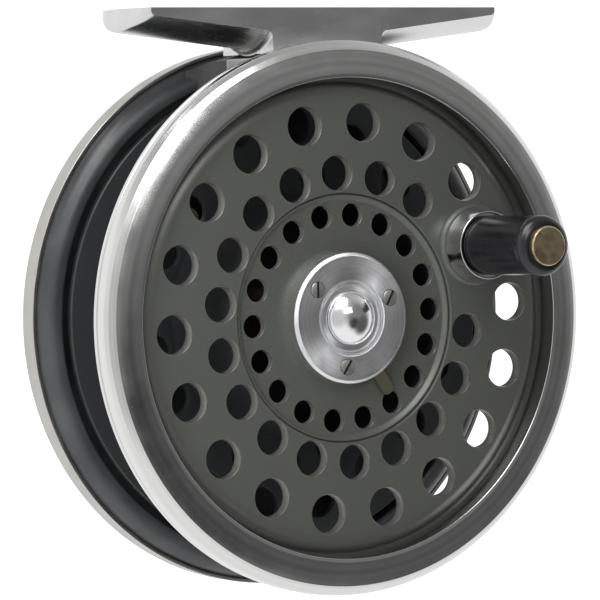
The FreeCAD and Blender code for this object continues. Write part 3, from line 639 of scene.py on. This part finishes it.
def pierced_face(mesh_data, depth, outer, inner, holes):
    """A flat ring of metal between two loops of vertices, with round holes. Returns each hole's loop."""
    loops = [outer, inner]
    hold = HOLE_EDGE + 0.03
    for across, up, hole in holes:
        loops.append(ring_points(mesh_data, depth, hole + hold, HOLE_STEPS, (across, up)))
    vertices = [vertex for loop in loops for vertex in loop]
    flat = [Vector((vertex.co.x, vertex.co.z - AXIS_UP)) / MM for vertex in vertices]
    edges, start = [], 0
    for loop in loops:
        edges += [(start + step, start + (step + 1) % len(loop)) for step in range(len(loop))]
        start += len(loop)
    result = delaunay_2d_cdt(flat, edges, [], 0, 1e-6)
    origins = [vertices[sources[0]] if sources else None for sources in result[3]]
    limits = [(0, 0, flat[len(outer)].length * math.cos(math.pi / len(inner)))]
    limits += [(across, up, (hole + hold) * math.cos(math.pi / HOLE_STEPS)) for across, up, hole in holes]
    for triangle in result[2]:
        middle = sum((result[0][index] for index in triangle), Vector((0, 0))) / 3
        if any((middle - Vector(limit[:2])).length < limit[2] for limit in limits):
            continue
        mesh_data.faces.new([origins[index] for index in triangle])
    return loops[2:]


def hole_wall(mesh_data, front_loop, back_loop, hole, front, back):
    """The wall of one drilled hole, with a small rounded edge at each face."""
    across, up, radius = hole
    rings = [front_loop]
    eased = HOLE_EDGE * 0.3
    for depth, wider in ((front, HOLE_EDGE), (front + eased, eased), (front + HOLE_EDGE, 0),
                         (back - HOLE_EDGE, 0), (back - eased, eased), (back, HOLE_EDGE)):
        rings.append(ring_points(mesh_data, depth, radius + wider, HOLE_STEPS, (across, up)))
    rings.append(back_loop)
    for index, (one, other) in enumerate(zip(rings, rings[1:])):
        before = len(mesh_data.faces)
        join_rings(mesh_data, one, other)
        mesh_data.faces.ensure_lookup_table()
        for face in mesh_data.faces[before:]:
            face.material_index = 1 if index in (1, 2) else 2


def drilled_disc(name, front_corners, back_corners, holes, face_finish, edge_finish, wall_finish):
    """A turned disc with holes. Its faces are drawn outwards on the front and inwards on the back."""
    mesh_data = bmesh.new()
    sides, loops_found = [], []
    for corners in (front_corners, back_corners):
        rings = [ring_points(mesh_data, depth, radius, FINE_TURN) for depth, radius in corners]
        sides.append(rings)
        loops_found.append({})
        for index in range(1, len(rings)):
            (depth_before, radius_before), (depth, radius) = corners[index - 1], corners[index]
            low, high = sorted((radius, radius_before))
            here = [hole for hole in holes if low < math.hypot(*hole[:2]) < high]
            if depth != depth_before or not here:
                join_rings(mesh_data, rings[index - 1], rings[index])
                continue
            outer, inner = rings[index], rings[index - 1]
            if radius < radius_before:
                outer, inner = inner, outer
            for hole, loop in zip(here, pierced_face(mesh_data, depth, outer, inner, here)):
                loops_found[-1][hole] = (loop, depth)
    for hole in holes:
        (front_loop, front), (back_loop, back) = (found[hole] for found in loops_found)
        hole_wall(mesh_data, front_loop, back_loop, hole, front, back)
    front_rings, back_rings = sides
    join_rings(mesh_data, front_rings[-1], back_rings[0])
    join_rings(mesh_data, back_rings[-1], front_rings[0])
    return finish_mesh(name, mesh_data, [face_finish, edge_finish, wall_finish])


# The plate's satin enamel again, painted darker and bluer: painted shade inside the spool, used on the drum
# and the rear plate.
enamel_painted_shade = satin_enamel("inner_enamel_painted_shade", (0.024, 0.026, 0.027))
PLATE_BACK, REAR_FRONT, REAR_BACK = 2.1, 21.9, 23.1
DRUM_INSIDE, DRUM_ROUND = 19.5, 20.8
REAR_ROUND = 39.5
BUSH_ROUND = 5.5
drum = turned("drum", [(PLATE_BACK, DRUM_INSIDE), (PLATE_BACK, DRUM_ROUND), (REAR_FRONT, DRUM_ROUND),
                       (REAR_FRONT, DRUM_INSIDE)], [enamel_painted_shade])
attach(drum, "spool")
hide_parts("spool_drum")

rear_holes = ring_of_holes(OUTER_RING, OUTER_HOLE, HOLE_TURN, 18)
rear_holes += ring_of_holes(MIDDLE_RING + 0.4, MIDDLE_HOLE - 0.2, HOLE_TURN + HOLE_STEP / 2, 18)
rear_front = [(REAR_FRONT + inward, REAR_ROUND + outward) for inward, outward in (
    (0, BUSH_ROUND - REAR_ROUND), (0, -0.1), (0, 0), (0.03, 0.15), (0.15, 0.28), (0.3, 0.34))]
rear_back = [(REAR_FRONT + REAR_BACK - depth, radius) for depth, radius in reversed(rear_front)]
rear_plate = drilled_disc("rear_plate", rear_front, rear_back, rear_holes,
                          enamel_painted_shade, enamel_painted_shade, enamel_painted_shade)
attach(rear_plate, "spool")
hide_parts("spool_rear_plate")
dress("spindle_bush", machined("bush_bronze", (0.60, 0.38, 0.20), 0.3, 0.3, 0.25))

# ---------------------------------------------------------------- The spool's front plate
# A turned and drilled aluminium disc in satin enamel. The hub is dished behind a thin bead, the edge
# rolls back into a groove beside the rim, and the metal swells into a boss under the handle.
HUB_DEPTH = 0.95
HUB_EDGE, HUB_BEAD_WIDTH, HUB_BEAD_RISE = 19.4, 0.95, 0.62
LIP_DEPTH = 1.9
LIP_EDGE = 43.0
HANDLE_RING = 28.1
HANDLE_TURN = 23.7
BOSS_FOOT, BOSS_SIDE, BOSS_RISE = 7.15, 0.95, 0.92
BOSS_FACE = 0.02 - BOSS_RISE
handle_spot = polar(HANDLE_RING, HANDLE_TURN)


def edge_roll(centre_depth, centre_radius, radius, first, last, steps):
    """Points of (depth, radius) on the rolled edge, by angles in degrees from the way out."""
    points = []
    for step in range(steps + 1):
        outward, forwards = polar(radius, first + (last - first) * step / steps)
        points.append((centre_depth - forwards, centre_radius + outward))
    return points


plate_front = [(HUB_DEPTH, BUSH_ROUND), (HUB_DEPTH, HUB_EDGE - 0.1)]
for step in range(9):
    plate_front.append((HUB_DEPTH - HUB_BEAD_RISE * (1 - math.cos(math.pi * step / 8)) / 2,
                        HUB_EDGE + HUB_BEAD_WIDTH * step / 8))
plate_front += [(0.36, 20.42), (0.48, 20.5), (0.62, 20.56), (0.62, 20.62), (0.3, 20.66), (0.1, 20.7),
                (0.02, 20.77), (0.0, 20.83), (0.0, 20.88)]
plate_front += edge_roll(3.5, 36.0, 3.5, 90, 27.7, 20) + [(LIP_DEPTH, 39.15), (LIP_DEPTH, LIP_EDGE)]
plate_back = [(2.9, LIP_EDGE), (2.9, 37.5), (PLATE_BACK, 36.6), (PLATE_BACK, 36.5), (PLATE_BACK, BUSH_ROUND)]
front_holes = ring_of_holes(OUTER_RING, OUTER_HOLE, HOLE_TURN - HOLE_STEP, 17)
front_holes += ring_of_holes(MIDDLE_RING, MIDDLE_HOLE, HOLE_TURN - 1.5 * HOLE_STEP, 16)
front_holes += ring_of_holes(INNER_RING, INNER_HOLE, HOLE_TURN, 18)


def drilled_wall():
    """The enamel where it thins on the walls of the holes, streaked along the drill's way."""
    material, nodes, links, shader = new_finish("drilled_wall", (0.11, 0.11, 0.105), 0.5, 0.36)
    streaks = speckle(nodes, links, place_node(nodes, links), 0.7, 3, (1, 0.2, 1))
    shades = tint(nodes, links, streaks, (0.08, 0.08, 0.075), (0.14, 0.14, 0.13))
    links.new(shades, shader.inputs["Base Color"])
    return material


worn_edge = machined("worn_edge", (0.30, 0.30, 0.29), 0.3)
front_plate = drilled_disc("front_plate", plate_front, plate_back, front_holes,
                           enamel_satin, worn_edge, drilled_wall())
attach(front_plate, "spool")
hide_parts("spool_front_plate")

boss_profile = [(BOSS_FACE, 0), (0.05, 0)]
for step in range(13):
    turn = math.pi / 2 * step / 12
    boss_profile.append((0.02 - BOSS_RISE * (1 - math.cos(turn)), BOSS_FOOT - BOSS_SIDE * math.sin(turn)))
boss = turned("handle_boss", boss_profile, [enamel_satin], handle_spot, 128)
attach(boss, "spool")

# ---------------------------------------------------------------- The rim
# A ring turned from bar, polished and pressed over the plate's lip. Its broad face falls away a little
# outwards, its outer corner is round, and a fine groove parts it from a bead at the back.
rim_metal = turned_aluminium("rim_aluminium", (0.80, 0.80, 0.79), 0.17, 0.2, swirl=0.02, brushed=0.15)
RIM_ROUND = 46.0
rim = turned("rim", [
    (LIP_DEPTH, 39.7), (-2.72, 39.7, 0.14), (-2.8, 40.3, 0.4), (-2.74, 41.2), (-2.62, 42.2), (-2.45, 43.2),
    (-2.14, 44.3, 0.3), (-1.5, 45.25, 0.6), (-0.55, RIM_ROUND - 0.05, 0.7), (0.95, RIM_ROUND, 0.12),
    (1.12, RIM_ROUND - 0.5), (1.4, RIM_ROUND - 0.5), (1.55, RIM_ROUND - 0.05, 0.2),
    (2.5, RIM_ROUND - 0.1, 0.5), (RIM_BACK, 45.2, 0.3), (RIM_BACK, LIP_EDGE), (LIP_DEPTH, LIP_EDGE),
], [rim_metal])
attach(rim, "spool")
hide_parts("spool_rim")

# ---------------------------------------------------------------- The hub cap
# A bright turned cap held by three slotted screws. A shallow recess with two fine rings surrounds the
# chromed dome that is pressed into its middle.
cap_metal = turned_aluminium("cap_aluminium", (0.90, 0.905, 0.92), 0.36, 0.5, swirl=0.1, brushed=0.85)
CAP_FRONT = -1.9
CAP_ROUND = 10.9
hub_cap = turned("hub_cap_turned", [
    (HUB_DEPTH, 4.5), (-1.5, 4.5, 0.1), (-1.4, 5.45, 0.08), (-1.7, 5.62, 0.05), (-1.7, 5.85, 0.05),
    (-1.5, 5.95, 0.05), (-1.5, 6.08, 0.04), (CAP_FRONT + 0.05, 6.25, 0.05), (CAP_FRONT, 6.4, 0.05),
    (CAP_FRONT, CAP_ROUND - 0.55, 0.3), (CAP_FRONT + 0.45, CAP_ROUND - 0.02, 0.3), (HUB_DEPTH, CAP_ROUND),
], [cap_metal])
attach(hub_cap, "spool")
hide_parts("hub_cap")


def bright_chrome():
    """Chrome plate over turned brass, with a soft haze and a faint unevenness."""
    material, nodes, links, shader = new_finish("bright_chrome", (0.86, 0.86, 0.87), 1.0, 0.18)
    place = place_node(nodes, links)
    haze = speckle(nodes, links, place, 1.2, 3)
    links.new(spread(nodes, links, haze, 0.11, 0.17), shader.inputs["Roughness"])
    raise_surface(nodes, links, shader, (speckle(nodes, links, place, 0.6, 2), 0.008, 0.1))
    return material


DOME_FRONT, DOME_ROUND, DOME_HALF, DOME_STEPS = -4.3, 5.6, 4.37, 20
dome_profile = []
for step in range(DOME_STEPS + 1):
    reach = DOME_HALF * step / DOME_STEPS
    dome_profile.append((DOME_FRONT + DOME_ROUND - math.sqrt(DOME_ROUND ** 2 - reach ** 2), reach))
dome_profile += [(-1.95, 4.45), (-1.3, 4.45), (-1.3, 0)]
dome = turned("dome", dome_profile, [bright_chrome()], steps=128)
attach(dome, "spool")
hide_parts("dome_cap")

screw_steel = machined("cap_screw_steel", (0.84, 0.81, 0.78), 0.34, 0.2, 0.3)
SCREW_RING = 8.1
for index, slot_turn in enumerate((61, 90, 56)):
    spot = polar(SCREW_RING, HOLE_TURN + 120 * index)
    screw = slotted_head(f"cap_screw_{index + 1}", screw_steel, spot, front=CAP_FRONT - 0.12,
                         back=CAP_FRONT + 0.8, radius=1.3, slot_turn=slot_turn, slot_half=0.22,
                         slot_deep=0.09, gap=0.07, steps=40)
    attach(screw, "spool")
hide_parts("cap_screws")

dress("spool_latch", machined("latch_nickel_silver", (0.42, 0.38, 0.27), 0.34, 0.2, 0.2))

# ---------------------------------------------------------------- The handle
# A straight black knob turns on a brass pin. The pin is riveted through the plate, its round head sits
# in the knob's end, and a polished cup seats the knob on the boss.
collar_metal = turned_aluminium("collar_aluminium", (0.80, 0.80, 0.80), 0.16, 0.2, handle_spot)
PIN_ROUND = 1.6
collar = turned("handle_collar_turned", [
    (BOSS_FACE, PIN_ROUND), (-3.8, PIN_ROUND), (-3.8, 5.35), (-4.5, 5.4, 0.12), (-4.5, 5.72, 0.14),
    (-3.9, 5.78, 0.3), (-2.6, 5.86), (-1.5, 6.02), (BOSS_FACE, BOSS_FOOT - BOSS_SIDE),
], [collar_metal], handle_spot, 160)
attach(collar, "spool")
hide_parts("handle_collar")
dress("handle_washer", steel)


def knob_black():
    """Moulded black, polished, with a faint haze of handling and hairline scratches."""
    material, nodes, links, shader = new_finish("knob_black", (0.007, 0.007, 0.008), 0.0, 0.22)
    place = place_node(nodes, links, handle_spot)
    haze = speckle(nodes, links, place, 3, 4)
    links.new(spread(nodes, links, haze, 0.19, 0.25), shader.inputs["Roughness"])
    shades = tint(nodes, links, haze, (0.005, 0.005, 0.006), (0.009, 0.009, 0.011))
    links.new(shades, shader.inputs["Base Color"])
    raise_surface(nodes, links, shader, (ring_marks(nodes, links, place, 0.4), 0.004, 0.03),
                  (speckle(nodes, links, place, 0.9, 2), 0.004, 0.02))
    return material


knob = turned("knob", [
    (-4.2, PIN_ROUND + 0.06), (-4.2, 4.9, 0.1), (-4.6, 5.0, 0.2), (-9.0, 4.95), (-14.5, 4.95),
    (-18.0, 5.03, 1.5), (-19.6, 5.1, 0.5), (-21.5, 4.9, 1.7), (-21.45, 3.4, 0.1), (-20.5, 3.4),
    (-20.5, PIN_ROUND + 0.06),
], [knob_black()], handle_spot, 160)
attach(knob, "handle")
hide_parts("handle_knob")


def pin_brass():
    """Brass gone brown with handling, with darker spots."""
    material, nodes, links, shader = new_finish("pin_brass", (0.50, 0.39, 0.20), 1.0, 0.34)
    place = place_node(nodes, links, handle_spot)
    tarnish = speckle(nodes, links, place, 2.2, 5)
    links.new(tint(nodes, links, tarnish, (0.26, 0.20, 0.12), (0.60, 0.50, 0.32), 0.38, 0.58),
              shader.inputs["Base Color"])
    links.new(spread(nodes, links, tarnish, 0.45, 0.28), shader.inputs["Roughness"])
    raise_surface(nodes, links, shader, (speckle(nodes, links, place, 0.25, 3), 0.02, 0.3))
    return material


pin = turned("handle_pin", [
    (2.8, 0), (2.8, 2.0, 0.3), (PLATE_BACK, 2.6), (PLATE_BACK, PIN_ROUND), (-20.6, PIN_ROUND), (-20.6, 3.3),
    (-22.3, 3.3, 0.35), (-22.3, 0),
], [pin_brass()], handle_spot, 128)
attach(pin, "spool")
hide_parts("handle_spindle")

# ---------------------------------------------------------------- The studio
# A pale sweep of card runs under and behind the reel. Soft lamps hang above and in front, and one beside
# the reel lights its enamel without showing in the polished metal, which mirrors soft grey surroundings.
FLOOR_UP = -0.15
SWEEP_START, SWEEP_BEND, SWEEP_ROUND, SWEEP_TOP, SWEEP_HALF = -0.18, 2.0, 1.5, 5.0, 5.0


def make_sweep():
    """A wide card that runs back from under the camera and curves up behind the reel."""
    mesh_data = bmesh.new()
    rows = [(SWEEP_START, 0.0), (SWEEP_BEND, 0.0)]
    for step in range(1, 17):
        turn = math.pi / 2 * step / 16
        rows.append((SWEEP_BEND + SWEEP_ROUND * math.sin(turn), SWEEP_ROUND * (1 - math.cos(turn))))
    rows.append((SWEEP_BEND + SWEEP_ROUND, SWEEP_TOP))
    lines = []
    for along, up in rows:
        middle = Vector((forward.x, forward.y, 0)).normalized() * along
        lines.append([mesh_data.verts.new(middle + level * side + Vector((0, 0, FLOOR_UP + up)))
                      for side in (-SWEEP_HALF, SWEEP_HALF)])
    for one, other in zip(lines, lines[1:]):
        mesh_data.faces.new([one[0], one[1], other[1], other[0]])
    return mesh_data


def pale_card():
    """White card that glows a little, so that it stays pale behind the reel."""
    material, nodes, links, shader = new_finish("pale_card", (0.93, 0.93, 0.93), 0.0, 0.8)
    shader.inputs["Emission Color"].default_value = (1, 1, 1, 1)
    shader.inputs["Emission Strength"].default_value = 0.6
    return material


sweep = finish_mesh("sweep", make_sweep(), [pale_card()])
sweep.visible_glossy = False


def soft_lamp(name, towards, distance, wide, tall, power, shows=True):
    """A large rectangular lamp that faces the reel. It may be kept out of mirror-bright reflections."""
    lamp = bpy.data.lights.new(name, "AREA")
    lamp.shape = "RECTANGLE"
    lamp.size = wide
    lamp.size_y = tall
    lamp.energy = power
    holder = bpy.data.objects.new(name, lamp)
    way = Vector(towards).normalized()
    holder.location = at(0, FOOT_MIDDLE, 0) + way * distance
    holder.rotation_euler = (-way).to_track_quat("-Z", "Y").to_euler()
    holder.visible_camera = False
    holder.visible_glossy = shows
    bpy.context.scene.collection.objects.link(holder)


soft_lamp("lamp_above", (-0.34, -0.5, 0.8), 0.34, 0.22, 0.22, 0.75)
soft_lamp("lamp_side", (-0.82, -0.52, 0.12), 0.2, 0.1, 0.2, 0.65, shows=False)
soft_lamp("lamp_front", (-0.12, -0.89, 0.44), 0.7, 0.3, 0.2, 0.9)

world = bpy.data.worlds.new("studio")
world.use_nodes = True
world_nodes, world_links = world.node_tree.nodes, world.node_tree.links
where = world_nodes.new("ShaderNodeTexCoord")


def patch(towards, inner, outer):
    """A soft-edged round patch of the surroundings: 1 inside one angle, 0 outside another."""
    lean = world_nodes.new("ShaderNodeVectorMath")
    lean.operation = "DOT_PRODUCT"
    lean.inputs[1].default_value = Vector(towards).normalized()
    world_links.new(where.outputs["Generated"], lean.inputs[0])
    edge = world_nodes.new("ShaderNodeMapRange")
    edge.interpolation_type = "SMOOTHSTEP"
    edge.inputs["From Min"].default_value = math.cos(math.radians(outer))
    edge.inputs["From Max"].default_value = math.cos(math.radians(inner))
    world_links.new(lean.outputs["Value"], edge.inputs["Value"])
    return edge.outputs["Result"]


def blend_in(under, mask, shade):
    """Lays a grey over what is already there, through a mask."""
    mix = world_nodes.new("ShaderNodeMix")
    mix.inputs["B"].default_value = shade
    if isinstance(under, float):
        mix.inputs["A"].default_value = under
    else:
        world_links.new(under, mix.inputs["A"])
    world_links.new(mask, mix.inputs["Factor"])
    return mix.outputs["Result"]


light_path = world_nodes.new("ShaderNodeLightPath")
shade = blend_in(0.95, patch((0, 0, 1), 20, 70), 0.42)
shade = blend_in(shade, patch((-0.72, -0.69, 0.0), 14, 40), 0.6)
shade = blend_in(shade, patch((0.45, -0.88, 0.1), 25, 58), 0.2)
shade = blend_in(shade, patch((0.2, -0.92, -0.28), 9, 22), 0.05)
shade = blend_in(shade, patch((0.7, -0.62, -0.36), 12, 34), 0.1)
shade = blend_in(shade, light_path.outputs["Is Camera Ray"], 1.0)
world_nodes["Background"].inputs["Color"].default_value = (1, 1, 1, 1)
world_links.new(shade, world_nodes["Background"].inputs["Strength"])
bpy.context.scene.world = world
bpy.context.scene.view_settings.view_transform = "Standard"
